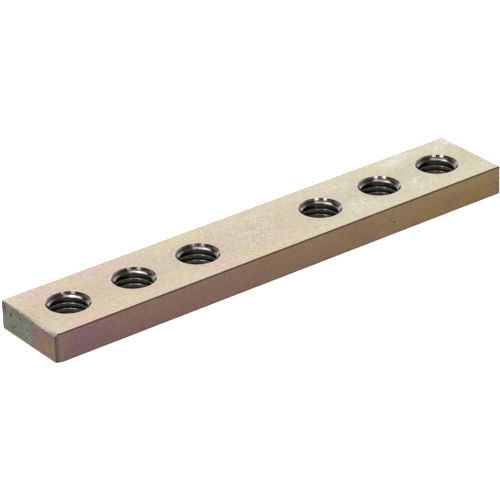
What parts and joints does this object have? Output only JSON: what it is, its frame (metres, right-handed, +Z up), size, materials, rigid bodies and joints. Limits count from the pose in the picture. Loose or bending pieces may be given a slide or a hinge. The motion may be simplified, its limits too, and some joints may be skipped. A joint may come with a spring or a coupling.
{
  "type": "tapped mounting bar",
  "caption": "Flat steel bar with two groups of countersunk threaded holes along its centreline, used as a nut plate that joins or fixes profiles, brackets and plates.",
  "frame": {"origin": "middle of the underside", "axes": "+X along the bar, +Y across it, +Z up along the hole axes"},
  "size_m": [0.18, 0.03, 0.01],
  "materials": {
    "plated_steel": "yellow passivated zinc plate, satin with faint rose and green tints"
  },
  "bodies": {
    "root": {"tapped_bar": "plated_steel"}
  },
  "joints": []
}
